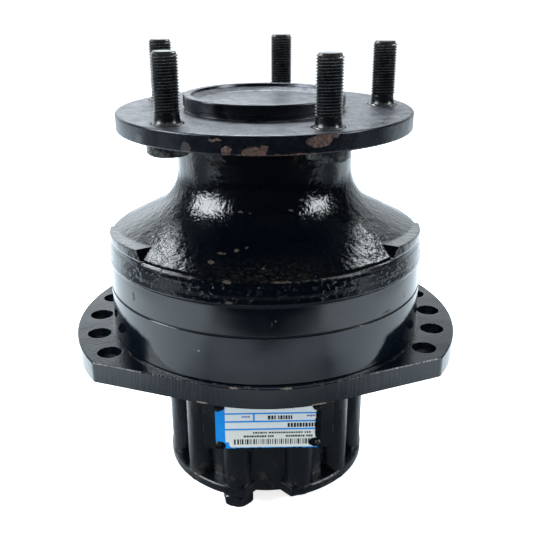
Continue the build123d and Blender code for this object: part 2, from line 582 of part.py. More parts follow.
# ---- write one file for each piece ----
NODES = {
    "mounting_plate": mounting_plate,
    "cam_ring": cam_ring,
    "bearing_support": bearing_support,
    "distribution_cover": distribution_cover,
    "name_plate": name_plate,
    "name_plate_rivets": name_plate_rivets,
    "cover_screws": cover_screws,
    "joint_screws": joint_screws,
    "dowel_pins": dowel_pins,
    "plug_screws": plug_screws,
    "plug_washers": plug_washers,
    "distribution_valve": distribution_valve,
    "valve_seals": valve_seals,
    "valve_springs": valve_springs,
    "joint_seals": joint_seals,
    "cover_seal": cover_seal,
    "shaft_seal_case": shaft_seal_case,
    "shaft_seal_lip": shaft_seal_lip,
    "front_bearing_cup": lambda: place_front(bearing_cup()),
    "front_bearing_cone": lambda: place_front(bearing_cone()),
    "front_bearing_cage": lambda: place_front(bearing_cage()),
    "front_bearing_rollers": lambda: group(place_front(r) for r in bearing_rollers()),
    "rear_bearing_cup": lambda: place_rear(bearing_cup()),
    "rear_bearing_cone": lambda: place_rear(bearing_cone()),
    "rear_bearing_cage": lambda: place_rear(bearing_cage()),
    "rear_bearing_rollers": lambda: group(place_rear(r) for r in bearing_rollers()),
    "wheel_shaft": wheel_shaft,
    "wheel_studs": wheel_studs,
    "bearing_nut": bearing_nut,
    "lock_washer": lock_washer,
    "cylinder_block": cylinder_block,
    "retaining_ring": retaining_ring,
}

for node, make in NODES.items():
    export_step(make(), f"parts/{node}.step")

for number in range(PISTONS):
    angle = PISTON_FIRST + number * 360 / PISTONS
    export_step(piston(angle), f"parts/piston_{number + 1}.step")
    export_step(cam_roller(angle), f"parts/cam_roller_{number + 1}.step")
    export_step(piston_ring(angle), f"parts/piston_ring_{number + 1}.step")
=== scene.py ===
import math
import random

import bmesh
import bpy
from mathutils import Matrix, Vector


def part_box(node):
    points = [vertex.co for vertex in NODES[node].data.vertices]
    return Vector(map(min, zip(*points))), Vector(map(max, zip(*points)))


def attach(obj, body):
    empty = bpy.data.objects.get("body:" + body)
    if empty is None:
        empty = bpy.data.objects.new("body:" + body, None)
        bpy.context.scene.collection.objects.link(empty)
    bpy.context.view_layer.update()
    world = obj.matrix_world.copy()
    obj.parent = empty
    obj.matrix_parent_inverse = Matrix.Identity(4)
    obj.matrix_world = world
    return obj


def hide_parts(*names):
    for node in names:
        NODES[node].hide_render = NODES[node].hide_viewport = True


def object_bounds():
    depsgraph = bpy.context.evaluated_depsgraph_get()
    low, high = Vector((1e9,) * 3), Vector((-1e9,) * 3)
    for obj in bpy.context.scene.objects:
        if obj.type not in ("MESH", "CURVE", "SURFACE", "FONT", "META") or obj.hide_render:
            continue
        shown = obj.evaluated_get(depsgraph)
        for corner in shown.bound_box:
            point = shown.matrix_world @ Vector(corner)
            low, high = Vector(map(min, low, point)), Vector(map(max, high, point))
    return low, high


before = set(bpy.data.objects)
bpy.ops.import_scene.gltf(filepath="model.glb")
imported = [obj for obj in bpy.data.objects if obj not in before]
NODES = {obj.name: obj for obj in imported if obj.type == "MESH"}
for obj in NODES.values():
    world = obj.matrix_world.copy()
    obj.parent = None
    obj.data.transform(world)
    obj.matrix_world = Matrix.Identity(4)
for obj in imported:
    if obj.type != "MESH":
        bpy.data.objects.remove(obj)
cad_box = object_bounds()

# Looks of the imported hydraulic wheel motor: studio, camera, finishes, threaded studs and name plate.
# Metres, in the frame of the CAD: +Z along the shaft towards the wheel, -Y towards the camera's side.

MM = 0.001
FLOOR_Z = cad_box[0].z
SUPPORT_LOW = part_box("bearing_support")[0]
COVER_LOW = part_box("distribution_cover")[0]
PLATE_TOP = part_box("mounting_plate")[1].z
FLANGE_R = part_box("wheel_shaft")[1].x
LABEL_LOW, LABEL_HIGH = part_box("name_plate")
STUDS_LOW, STUDS_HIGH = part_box("wheel_studs")

# heights that the boxes don't give
FLANGE_TOP = 0.129                                     # the face the wheel lies on
FLANGE_UNDER = 0.1193
BAND_TOP = 0.045                                       # the bearing support's machined band ends here
SHOULDER_Z = 0.0582                                    # and its cast wall ends here
NECK_LOW, NECK_MIDDLE, NECK_HIGH = 0.084, 0.100, 0.115

# wheel studs, M14x1.5
STUD_R, STUD_PCR, STUD_PITCH = 7.0 * MM, 70.0 * MM, 1.5 * MM
STUD_COUNT, STUD_FIRST_ANGLE = 5, 7.8
STUD_HEAD_R, STUD_HEAD_CHAMFER = 11.5 * MM, 1.2 * MM
STUD_COLLAR_R, STUD_NECK_R, STUD_TIP_R = 8.03 * MM, 6.4 * MM, 5.45 * MM
STUD_COLLAR_TOP = 0.134
STUD_SIDES = 48
THREAD_DEPTH = 0.92 * MM
# one pitch of the thread: (share of the pitch, radius)
THREAD_SHAPE = ((0.0, STUD_R), (0.14, STUD_R), (0.50, STUD_R - THREAD_DEPTH), (0.64, STUD_R - THREAD_DEPTH))
TURNS_BELOW, TURNS_SPARE = 2, 4                        # it starts below the collar and ends past the tip
WELD = 0.002 * MM                                      # points nearer than this become one


# ---------------------------------------------------------------- node trees

class Tree:
    """Node tree of a material or of the world. Each call adds nodes and hands back a socket."""

    def __init__(self, owner, coordinates):
        owner.use_nodes = True
        self.nodes = owner.node_tree.nodes
        self.links = owner.node_tree.links
        self.place = self.node("ShaderNodeTexCoord").outputs[coordinates]

    def feed(self, socket, value):
        if isinstance(value, bpy.types.NodeSocket):
            self.links.new(value, socket)
        else:
            socket.default_value = value

    def node(self, kind, inputs=None, **settings):
        made = self.nodes.new(kind)
        for name, value in settings.items():
            setattr(made, name, value)
        for name, value in (inputs or {}).items():
            self.feed(made.inputs[name], value)
        return made

    def math(self, operation, a, b=0.0):
        return self.node("ShaderNodeMath", {0: a, 1: b}, operation=operation).outputs[0]

    def times(self, a, b):
        return self.math("MULTIPLY", a, b)

    def plus(self, a, b):
        return self.math("ADD", a, b)

    def most(self, a, b):
        return self.math("MAXIMUM", a, b)

    def away(self, value, centre=0.0):
        """How far the value is from centre, on either side."""
        return self.math("ABSOLUTE", self.math("SUBTRACT", value, centre))

    def vector(self, operation, a, b=(0.0, 0.0, 0.0), output="Vector"):
        return self.node("ShaderNodeVectorMath", {0: a, 1: b}, operation=operation).outputs[output]

    def axis(self, letter, of=None):
        return self.node("ShaderNodeSeparateXYZ", {0: of or self.place}).outputs[letter]

    def ramp(self, value, low, high, start=0.0, end=1.0):
        """start below low, end above high, smooth between."""
        inputs = {"Value": value, "From Min": low, "From Max": high, "To Min": start, "To Max": end}
        return self.node("ShaderNodeMapRange", inputs, interpolation_type="SMOOTHSTEP").outputs["Result"]


class Finish(Tree):
    """Material with one Principled shader."""

    def __init__(self, name, constants):
        self.material = bpy.data.materials.new(name)
        super().__init__(self.material, "Object")
        self.shader = self.nodes["Principled BSDF"]
        self.normal = None
        for socket, value in constants.items():
            self.shader.inputs[socket].default_value = value

    def noise(self, size, detail=2.0, roughness=0.5, stretch=(1.0, 1.0, 1.0)):
        """Noise whose lumps are about size across, drawn out where stretch is above 1."""
        place = self.vector("DIVIDE", self.place, [size * s for s in stretch])
        inputs = {"Vector": place, "Scale": 1.0, "Detail": detail, "Roughness": roughness}
        return self.node("ShaderNodeTexNoise", inputs).outputs["Fac"]

    def blotches(self, size, low, high, strength=1.0, detail=4.0, roughness=0.65, stretch=(1.0, 1.0, 1.0)):
        """Ragged blotches about size across. Raising low and high makes them fewer."""
        return self.ramp(self.noise(size, detail, roughness, stretch), low, high, 0.0, strength)

    def mix(self, share, a, b):
        """Colour a where share is 0, colour b where it is 1."""
        made = self.node("ShaderNodeMix", data_type="RGBA")
        self.feed(made.inputs[0], share)
        for index, colour in ((6, a), (7, b)):
            is_socket = isinstance(colour, bpy.types.NodeSocket)
            self.feed(made.inputs[index], colour if is_socket else (*colour, 1.0))
        return made.outputs[2]

    def spots(self, places, wobble, size):
        """1 inside ragged patches, each (centre, radii) in metres. wobble is how far the outline strays."""
        scaled = self.vector("DIVIDE", self.place, [size] * 3)
        inputs = {"Vector": scaled, "Scale": 1.0, "Detail": 4.0}
        drift = self.node("ShaderNodeTexNoise", inputs).outputs["Color"]
        drift = self.vector("SUBTRACT", drift, (0.5, 0.5, 0.5))
        ragged = self.vector("ADD", self.place, self.vector("MULTIPLY", drift, [wobble] * 3))
        inside = 0.0
        for centre, radii in places:
            away = self.vector("DIVIDE", self.vector("SUBTRACT", ragged, centre), radii)
            near = self.ramp(self.vector("LENGTH", away, output="Value"), 0.85, 1.0, 1.0, 0.0)
            inside = self.most(near, inside)
        return inside

    def from_shaft(self):
        """Distance from the piece's own Z axis."""
        flat = self.vector("MULTIPLY", self.place, (1.0, 1.0, 0.0))
        return self.vector("LENGTH", flat, output="Value")

    def faced_up(self):
        """1 on level faces that look up, 0 on walls."""
        normal = self.node("ShaderNodeNewGeometry").outputs["Normal"]
        return self.ramp(self.axis("Z", normal), 0.5, 0.9)

    def soften(self, radius):
        """Rounds the edges that the CAD mesh has sharp."""
        self.normal = self.node("ShaderNodeBevel", {"Radius": radius}, samples=4).outputs["Normal"]

    def edges(self, radius):
        """1 on edges, found where a rounded normal leaves the surface's own."""
        rounded = self.node("ShaderNodeBevel", {"Radius": radius}, samples=4).outputs["Normal"]
        own = self.node("ShaderNodeNewGeometry").outputs["Normal"]
        return self.ramp(self.vector("DOT_PRODUCT", rounded, own, output="Value"), 0.80, 0.97, 1.0, 0.0)

    def bump(self, height, distance):
        """Relief: height runs from 0 to 1 over the distance in metres."""
        inputs = {"Height": height, "Distance": distance, "Strength": 1.0}
        if self.normal is not None:
            inputs["Normal"] = self.normal
        self.normal = self.node("ShaderNodeBump", inputs).outputs["Normal"]

    def done(self, colour, rough):
        self.feed(self.shader.inputs["Base Color"], colour)
        self.feed(self.shader.inputs["Roughness"], rough)
        if self.normal is not None:
            self.feed(self.shader.inputs["Normal"], self.normal)
        return self.material


# ---------------------------------------------------------------- finishes

def around(radius, angle, z):
    """Point at an angle in degrees from the front, towards +X."""
    turn = math.radians(angle)
    return (radius * math.sin(turn), -radius * math.cos(turn), z)


def dab(radius, angle, z, wide, high):
    """Ragged spot: radius, angle from the front, height, half width and half height, in mm and degrees."""
    return (around(radius * MM, angle, z * MM), (wide * MM, wide * MM, high * MM))


def rim_dab(angle, z, wide, high):
    """Ragged spot on the flange's rim."""
    return dab(FLANGE_R / MM, angle, z, wide, high)


def support_dabs():
    """Bare spots on the bearing support, and one painted highlight: the wide thin spot along the front of
    the shoulder's edge.
    """
    neck_foot = [
        dab(54.7, -14.8, 82.7, 1.5, 0.4), dab(55.0, -9.4, 82.2, 0.7, 0.3), dab(52.5, 20.7, 87.6, 1.3, 0.8),
        dab(54.4, 13.7, 83.2, 1.5, 0.6), dab(57.5, 20.4, 78.7, 0.6, 0.4),
    ]
    slope = [
        dab(73.8, -12.7, 67.9, 1.3, 0.7), dab(82.1, -20.7, 63.6, 2.0, 0.8), dab(71.7, -8.6, 69.0, 0.9, 0.4),
        dab(76.3, -18.0, 66.6, 2.2, 0.35), dab(84.2, -1.7, 62.5, 0.9, 0.6),
    ]
    shoulder = [
        # painted highlight: the first spot, wide and thin along the shoulder's front edge, stands for a
        # bright edge line; the rest are chips
        dab(92.6, 3.9, 58.2, 5.5, 0.45), dab(93.0, -25.2, 57.9, 1.4, 1.0), dab(93.2, -36.3, 57.9, 1.3, 1.1),
        dab(93.0, -13.0, 57.9, 2.6, 0.9),
    ]
    wall = [
        dab(93.5, 21.4, 52.5, 0.9, 0.7), dab(93.8, -12.4, 47.3, 2.2, 0.7), dab(93.6, -50.9, 37.7, 1.3, 3.2),
        dab(93.5, 1.9, 37.4, 0.7, 0.6), dab(93.6, 16.6, 34.9, 0.8, 0.6), dab(93.6, 43.2, 30.6, 4.0, 0.8),
        dab(93.6, 0.8, 35.2, 0.35, 1.8), dab(93.6, 54.2, 34.3, 0.5, 2.6), dab(93.6, 21.6, 38.0, 0.5, 0.5),
    ]
    return neck_foot + slope + shoulder + wall


def support_paint():
    """Gloss black on a rough casting, with a smooth machined band at its foot and a chipped shoulder. A
    painted shadow runs along the seam at the bottom.
    """
    machined_black, cast_black = (0.0010, 0.0021, 0.0038), (0.0007, 0.0016, 0.0030)
    seam_shadow_black, haze_brown = (0.0004, 0.0004, 0.0005), (0.030, 0.025, 0.016)
    dust_brown, bare_dark, bare_light = (0.022, 0.014, 0.009), (0.020, 0.013, 0.009), (0.060, 0.044, 0.032)
    paint = Finish("bearing_support_paint", {"Specular IOR Level": 0.55})
    z = paint.axis("Z")

    # zones, each from 0 to 1
    cast = paint.ramp(z, BAND_TOP, BAND_TOP + 1.2 * MM)
    wall = paint.ramp(z, SHOULDER_Z - 2 * MM, SHOULDER_Z, 1.0, 0.0)
    lip = paint.ramp(paint.away(z, SHOULDER_Z - 0.6 * MM), 1.0 * MM, 2.4 * MM, 1.0, 0.0)
    seam = paint.ramp(z, SUPPORT_LOW.z + 0.7 * MM, SUPPORT_LOW.z + 1.1 * MM, 1.0, 0.0)
    neck_top = paint.ramp(z, NECK_MIDDLE - 2 * MM, NECK_HIGH)
    slope_foot = paint.times(paint.ramp(z, SHOULDER_Z, SHOULDER_Z + 9.8 * MM, 1.0, 0.0),
                             paint.ramp(z, SHOULDER_Z - 0.7 * MM, SHOULDER_Z))
    middle = paint.ramp(paint.away(paint.axis("X")), 10 * MM, 42 * MM, 1.0, 0.12)

    # relief: full on the slope, weaker on neck, lip and wall
    paint.soften(1.7 * MM)
    calm = paint.times(paint.ramp(z, NECK_LOW, NECK_MIDDLE, 1.0, 0.6), paint.ramp(lip, 0.0, 1.0, 1.0, 0.2))
    grain = paint.times(paint.times(cast, calm), paint.ramp(wall, 0.0, 1.0, 1.0, 0.45))
    paint.bump(paint.times(paint.noise(5.5 * MM, 2.0, 0.5), grain), 0.50 * MM)
    paint.bump(paint.times(paint.noise(1.6 * MM, 3.0, 0.55), grain), 0.20 * MM)
    pits = paint.blotches(2.2 * MM, 0.30, 0.42, detail=2.0, roughness=0.6)
    paint.bump(paint.times(pits, paint.times(cast, wall)), 0.15 * MM)
    paint.bump(paint.noise(30 * MM, 1.0), 0.4 * MM)

    # wear
    chips = paint.times(lip, paint.blotches(4.5 * MM, 0.66, 0.71))
    seam_rust = paint.times(seam, paint.blotches(5 * MM, 0.62, 0.68, roughness=0.6))
    # chips and seam rust; one of the spots is the painted highlight on the shoulder's edge
    bare = paint.most(paint.spots(support_dabs(), 2.3 * MM, 1.1 * MM), paint.most(chips, seam_rust))
    dust = paint.blotches(9 * MM, 0.46, 0.68, 0.5, roughness=0.6, stretch=(1, 1, 2.2))
    dust = paint.times(neck_top, dust)
    haze = paint.times(paint.times(slope_foot, middle), paint.blotches(1.6 * MM, 0.46, 0.70, 0.75))

    colour = paint.mix(cast, machined_black, cast_black)
    # painted shadow: a near-black line along the lowest millimetre stands for the shade in the seam against
    # the cam ring
    colour = paint.mix(paint.times(seam, 0.9), colour, seam_shadow_black)
    colour = paint.mix(haze, colour, haze_brown)
    colour = paint.mix(dust, colour, dust_brown)
    colour = paint.mix(bare, colour, paint.mix(paint.noise(1.2 * MM, 2.0), bare_dark, bare_light))
    rough = paint.ramp(paint.noise(24 * MM, 3.0), 0.35, 0.7, 0.10, 0.17)
    rough = paint.plus(rough, paint.ramp(cast, 0.0, 1.0, -0.03, 0.0))
    dull = paint.most(paint.most(dust, bare), seam)
    return paint.done(colour, paint.plus(rough, paint.times(dull, 0.5)))


def cover_paint():
    """Gloss black on the ribbed cover, worn brown towards the lower rim and along its edges."""
    dark, light = (0.0015, 0.0028, 0.0048), (0.0035, 0.0058, 0.0090)
    worn_brown, edge_brown = (0.032, 0.021, 0.015), (0.09, 0.06, 0.045)
    paint = Finish("distribution_cover_paint", {"Specular IOR Level": 0.55})
    paint.soften(1.4 * MM)
    paint.bump(paint.noise(8 * MM, 3.0, 0.5, (1, 1, 2.5)), 0.7 * MM)
    paint.bump(paint.noise(1.5 * MM, 2.0, 0.5), 0.10 * MM)
    low = paint.ramp(paint.axis("Z"), COVER_LOW.z + 2 * MM, COVER_LOW.z + 26 * MM, 1.0, 0.0)
    worn = paint.times(low, paint.blotches(7 * MM, 0.58, 0.68))
    edge = paint.edges(0.7 * MM)
    edge = paint.times(edge, paint.blotches(10 * MM, 0.54, 0.64, 0.7, detail=3.0, roughness=0.5))
    colour = paint.mix(paint.noise(20 * MM, 2.0), dark, light)
    colour = paint.mix(worn, colour, worn_brown)
    colour = paint.mix(edge, colour, edge_brown)
    rough = paint.ramp(paint.noise(15 * MM, 3.0), 0.35, 0.7, 0.20, 0.34)
    return paint.done(colour, paint.plus(rough, paint.times(paint.most(worn, edge), 0.4)))


def smooth_paint(name, chip_share, rough_low, rough_high, dabs=(), saw_marks=0.0):
    """Gloss black over machined steel, its edges worn bare. saw_marks is the depth of the side's lines."""
    dark, light = (0.0015, 0.0028, 0.0048), (0.0035, 0.0060, 0.0095)
    scuff_grey, bare_grey = (0.010, 0.0105, 0.011), (0.15, 0.12, 0.09)
    paint = Finish(name, {"Specular IOR Level": 0.5})
    paint.soften(0.5 * MM)
    paint.bump(paint.noise(26 * MM, 1.5), 0.5 * MM)
    paint.bump(paint.noise(1.1 * MM, 2.0, 0.6), 0.03 * MM)
    chipped = paint.blotches(4 * MM, 1.0 - chip_share, 1.06 - chip_share, roughness=0.7)
    bare = paint.times(paint.edges(0.7 * MM), chipped)
    scuffs = paint.blotches(5 * MM, 0.62, 0.78, 0.5, detail=3.0, roughness=0.6, stretch=(1, 1, 0.5))
    rough = paint.ramp(paint.noise(14 * MM, 3.0), 0.35, 0.72, rough_low, rough_high)
    if saw_marks:
        side = paint.ramp(paint.axis("Z"), PLATE_TOP - 0.5 * MM, PLATE_TOP - 0.2 * MM, 1.0, 0.0)
        marks = paint.times(side, paint.noise(1.3 * MM, 2.0, 0.6, (1, 1, 14.0)))
        paint.bump(marks, saw_marks)
        rough = paint.plus(rough, paint.times(marks, 0.03))
    if dabs:
        bare = paint.most(bare, paint.spots(dabs, 1.4 * MM, 1.1 * MM))
    colour = paint.mix(paint.noise(30 * MM, 2.0), dark, light)
    colour = paint.mix(scuffs, colour, scuff_grey)
    colour = paint.mix(bare, colour, bare_grey)
    return paint.done(colour, paint.plus(rough, paint.times(paint.most(bare, scuffs), 0.35)))


def plate_paint():
    """The chassis plate, with bare spots along its front edges. On the upper edge the two long thin spots
    are a painted highlight line; the other spots are chips.
    """
    upper_edge_chips_and_highlight = [
        # painted highlight: the long thin spots at -11.4 and 5.3 degrees stand for the bright line along
        # the top edge; the others are chips
        dab(97.5, -14.7, -0.8, 1.8, 1.7), dab(96.4, -11.4, -0.2, 3.0, 0.5), dab(94.9, 5.3, -0.2, 3.6, 0.5),
        dab(103.0, -40.2, -0.5, 1.7, 0.9),
    ]
    lower_edge = [dab(97.0, 16.0, -11.6, 5.0, 0.6), dab(97.0, -22.0, -11.5, 4.0, 0.7)]
    return smooth_paint("plate_paint", 0.45, 0.05, 0.12, upper_edge_chips_and_highlight + lower_edge, saw_marks=0.15 * MM)


def flange_finish():
    """Satin black wheel flange: scuffed on top, with a painted bluish sheen on its top face, bare and rusty
    in patches round its rim.
    """
    dark, light, scuff_grey = (0.0018, 0.0026, 0.0044), (0.0055, 0.0068, 0.0088), (0.080, 0.084, 0.098)
    speck_black, pale_grey, edge_grey = (0.0030, 0.0036, 0.0050), (0.055, 0.050, 0.047), (0.14, 0.12, 0.095)
    rust_dark, rust_light = (0.022, 0.012, 0.008), (0.125, 0.052, 0.026)
    tint = (0.86, 0.88, 1.0, 1.0)
    paint = Finish("wheel_flange_black", {"Specular IOR Level": 0.5, "Specular Tint": tint})
    paint.soften(0.5 * MM)
    level = paint.faced_up()
    top = paint.times(level, paint.ramp(paint.axis("Z"), FLANGE_TOP - 0.3 * MM, FLANGE_TOP))
    paint.bump(paint.noise(5 * MM, 4.0, 0.6), 0.12 * MM)
    paint.bump(paint.noise(0.9 * MM, 3.0, 0.6), 0.06 * MM)
    rust_front = [
        rim_dab(16.9, 125.7, 7.2, 3.2), rim_dab(20.5, 127.6, 5.5, 1.2), rim_dab(-4.6, 121.0, 6.2, 2.9),
        rim_dab(-1.2, 122.6, 2.0, 2.0), rim_dab(-13.6, 121.3, 2.8, 2.4), rim_dab(-17.3, 126.6, 3.4, 0.8),
        rim_dab(8.5, 119.5, 13.0, 0.75), rim_dab(-4.0, 119.5, 10.0, 0.8),
    ]
    rust_rear = [
        rim_dab(141, 124.0, 6.0, 3.0), rim_dab(-118, 122.0, 8.0, 2.0), rim_dab(96, 120.4, 9.0, 1.5),
    ]
    rust = paint.spots(rust_front + rust_rear, 3.2 * MM, 2.6 * MM)
    pale = paint.spots([
        rim_dab(-27.8, 121.6, 2.9, 3.2), rim_dab(-50, 122.3, 3.4, 2.6), rim_dab(-70, 125.5, 4.0, 2.4),
        rim_dab(172, 124.5, 5.0, 2.0),
    ], 2.4 * MM, 2.0 * MM)
    edge = paint.times(paint.edges(0.6 * MM), paint.blotches(6 * MM, 0.38, 0.54, roughness=0.7))
    # light bluish patches on the top face: partly wear, partly a painted sheen
    scuff_and_sheen = paint.times(paint.blotches(10 * MM, 0.42, 0.66, detail=5.0, roughness=0.7), top)
    specks = paint.times(top, paint.blotches(1.7 * MM, 0.58, 0.68, 0.8, detail=3.0))
    mottle = paint.blotches(4 * MM, 0.38, 0.72, detail=5.0, roughness=0.7)
    colour = paint.mix(mottle, dark, light)
    # painted sheen: the light grey on the top face brightens it like a sheen, besides showing wear
    colour = paint.mix(paint.times(scuff_and_sheen, 0.7), colour, scuff_grey)
    colour = paint.mix(specks, colour, speck_black)
    colour = paint.mix(paint.times(pale, 0.6), colour, pale_grey)
    flecks = paint.blotches(1.2 * MM, 0.4, 0.65, detail=3.0, roughness=0.6)
    colour = paint.mix(rust, colour, paint.mix(flecks, rust_dark, rust_light))
    colour = paint.mix(paint.times(edge, 0.7), colour, edge_grey)
    rough = paint.ramp(paint.noise(6 * MM, 4.0, 0.65), 0.35, 0.7, 0.36, 0.54)
    rough = paint.times(rough, paint.ramp(level, 0.0, 1.0, 0.55, 1.0))
    rough = paint.plus(rough, paint.times(specks, 0.3))
    rough = paint.plus(rough, paint.times(paint.most(rust, edge), 0.4))
    paint.bump(specks, -0.12 * MM)
    paint.bump(paint.times(rust, paint.noise(1.0 * MM, 3.0)), 0.25 * MM)
    return paint.done(colour, rough)


def stud_finish():
    """Black oxide, worn to paler metal on the thread's crests and tip. The paler crests are partly wear and
    partly painted highlights along the thread.
    """
    dark, light = (0.0018, 0.0028, 0.0045), (0.0050, 0.0065, 0.0090)
    tip_brown, bare_grey = (0.055, 0.047, 0.040), (0.13, 0.13, 0.125)
    paint = Finish("stud_black_oxide", {"Metallic": 0.2, "Specular IOR Level": 0.5})
    crest = paint.ramp(paint.from_shaft(), STUD_R - 0.28 * MM, STUD_R - 0.02 * MM)
    tip = paint.ramp(paint.axis("Z"), STUDS_HIGH.z - 9 * MM, STUDS_HIGH.z - 1 * MM)
    worn = paint.blotches(5 * MM, 0.28, 0.60, detail=3.0, roughness=0.6)
    # painted highlight: the pale crests stand partly for the highlights along the thread, partly for wear
    bare = paint.times(crest, paint.times(worn, paint.ramp(tip, 0.0, 1.0, 0.42, 0.9)))
    colour = paint.mix(paint.noise(6 * MM, 3.0), dark, light)
    colour = paint.mix(paint.times(tip, 0.35), colour, tip_brown)
    colour = paint.mix(bare, colour, bare_grey)
    paint.bump(paint.noise(0.6 * MM, 2.0), 0.015 * MM)
    return paint.done(colour, paint.ramp(paint.noise(2.5 * MM, 3.0), 0.3, 0.7, 0.20, 0.30))


def overspray(paint):
    """Black paint that has run over the name plate's corners and edges: where it lies, from 0 to 1."""
    # x, z, half width and half height in millimetres
    corners = [
        (-28.5, -30.0, 4.2, 3.4), (-28.4, -56.4, 4.0, 3.2),
        (28.5, -30.5, 3.4, 3.0), (27.6, -54.6, 4.4, 3.4),
    ]
    edges = [
        (31.0, -44.0, 4.2, 20.0), (0.0, -59.3, 44.0, 1.4), (-20.0, -28.3, 3.5, 1.2),
        (-3.0, -27.6, 8.0, 0.9), (13.0, -28.0, 3.0, 0.9),
    ]
    reach = 3 * MM
    places = []
    for x, z, wide, high in corners + edges:
        places.append(((x * MM, LABEL_LOW.y, z * MM), (wide * MM, reach, high * MM)))
    return paint.spots(places, 1.8 * MM, 1.5 * MM)


def print_finish(name, fresh, grimy, grime_from):
    """Printed foil, film or ink with grime in patches, under the black overspray."""
    spray_black = (0.003, 0.0045, 0.007)
    paint = Finish(name, {"Specular IOR Level": 0.15})
    grime = paint.blotches(5 * MM, grime_from, grime_from + 0.16, 0.55, roughness=0.7)
    sprayed = overspray(paint)
    colour = paint.mix(sprayed, paint.mix(grime, fresh, grimy), spray_black)
    rough = paint.ramp(paint.noise(4 * MM, 2.0), 0.3, 0.7, 0.34, 0.52)
    paint.bump(paint.noise(6 * MM, 2.0), 0.08 * MM)
    paint.bump(sprayed, 0.25 * MM)
    return paint.done(colour, paint.math("SUBTRACT", rough, paint.times(sprayed, 0.22)))


def metal(name, colour, dark, rough, turned=0.0):
    """Bare metal with faint stains. turned adds rings round the shaft axis, that far apart."""
    paint = Finish(name, {"Metallic": 1.0})
    stain = paint.blotches(12 * MM, 0.40, 0.75, roughness=0.6)
    paint.soften(0.25 * MM)
    if turned:
        rings = paint.math("SINE", paint.times(paint.from_shaft(), 2 * math.pi / turned))
        paint.bump(rings, 0.01 * MM)
    paint.bump(paint.noise(0.8 * MM, 2.0), 0.02 * MM)
    stained_rough = paint.ramp(paint.noise(4 * MM, 3.0), 0.3, 0.7, rough * 0.75, rough * 1.3)
    return paint.done(paint.mix(stain, colour, dark), stained_rough)


def rubber(name):
    """Dull black nitrile with a fine bloom."""
    paint = Finish(name, {"Specular IOR Level": 0.35})
    bloom = paint.blotches(3 * MM, 0.4, 0.7, roughness=0.6)
    paint.bump(paint.noise(0.5 * MM, 2.0), 0.03 * MM)
    colour = paint.mix(bloom, (0.012, 0.012, 0.013), (0.028, 0.028, 0.029))
    return paint.done(colour, paint.ramp(bloom, 0.0, 1.0, 0.5, 0.7))


# ---------------------------------------------------------------- meshes

def piece_from(name, build, finish):
    """New piece whose mesh build(bm) makes, shaded smooth apart from its sharper edges."""
    sharp = math.radians(35)
    bm = bmesh.new()
    build(bm)
    bmesh.ops.recalc_face_normals(bm, faces=bm.faces)
    mesh = bpy.data.meshes.new(name)
    bm.to_mesh(mesh)
    bm.free()
    mesh.polygons.foreach_set("use_smooth", [True] * len(mesh.polygons))
    mesh.set_sharp_from_angle(angle=sharp)
    mesh.materials.append(finish)
    made = bpy.data.objects.new(name, mesh)
    bpy.context.scene.collection.objects.link(made)
    return made


def ring(bm, radius, z):
    """Circle of loose vertices round the piece's own axis."""
    turns = [2 * math.pi * side / STUD_SIDES for side in range(STUD_SIDES)]
    return [bm.verts.new((radius * math.cos(t), radius * math.sin(t), z)) for t in turns]


def skin(bm, below, above):
    """Band of faces between two circles."""
    for side in range(STUD_SIDES):
        after = (side + 1) % STUD_SIDES
        bm.faces.new((below[side], below[after], above[after], above[side]))


def stud_profile():
    """Radius and height from the head's underside up to the end of the flared collar."""
    low, under = STUDS_LOW.z, FLANGE_UNDER
    rows = [(STUD_HEAD_R - STUD_HEAD_CHAMFER, low), (STUD_HEAD_R, low + STUD_HEAD_CHAMFER)]
    rows += [(STUD_HEAD_R, under), (STUD_COLLAR_R, under), (STUD_COLLAR_R, FLANGE_TOP)]
    flare_steps = 8
    for step in range(1, flare_steps + 1):
        turn = math.radians(90 * step / flare_steps)
        radius = STUD_NECK_R + (STUD_COLLAR_R - STUD_NECK_R) * (1 - math.sin(turn))
        rows.append((radius, STUD_COLLAR_TOP - (STUD_COLLAR_TOP - FLANGE_TOP) * math.cos(turn)))
    return rows


def thread_point(row, side):
    """Place on the thread's surface: row counts up the profile, side goes round.

    The ridge grows in over the first pitch above the collar, and a chamfer cuts it off at the tip.
    """
    shape, turn = THREAD_SHAPE[row % len(THREAD_SHAPE)], side / STUD_SIDES
    z = STUD_COLLAR_TOP + STUD_PITCH * (row // len(THREAD_SHAPE) - TURNS_BELOW + shape[0] + turn)
    z = min(max(z, STUD_COLLAR_TOP), STUDS_HIGH.z)
    grown = min(1.0, (z - STUD_COLLAR_TOP) / STUD_PITCH)
    radius = STUD_NECK_R + (shape[1] - STUD_NECK_R) * grown
    radius = min(radius, STUD_TIP_R + (STUDS_HIGH.z - z))
    angle = 2 * math.pi * turn
    return (radius * math.cos(angle), radius * math.sin(angle), z)


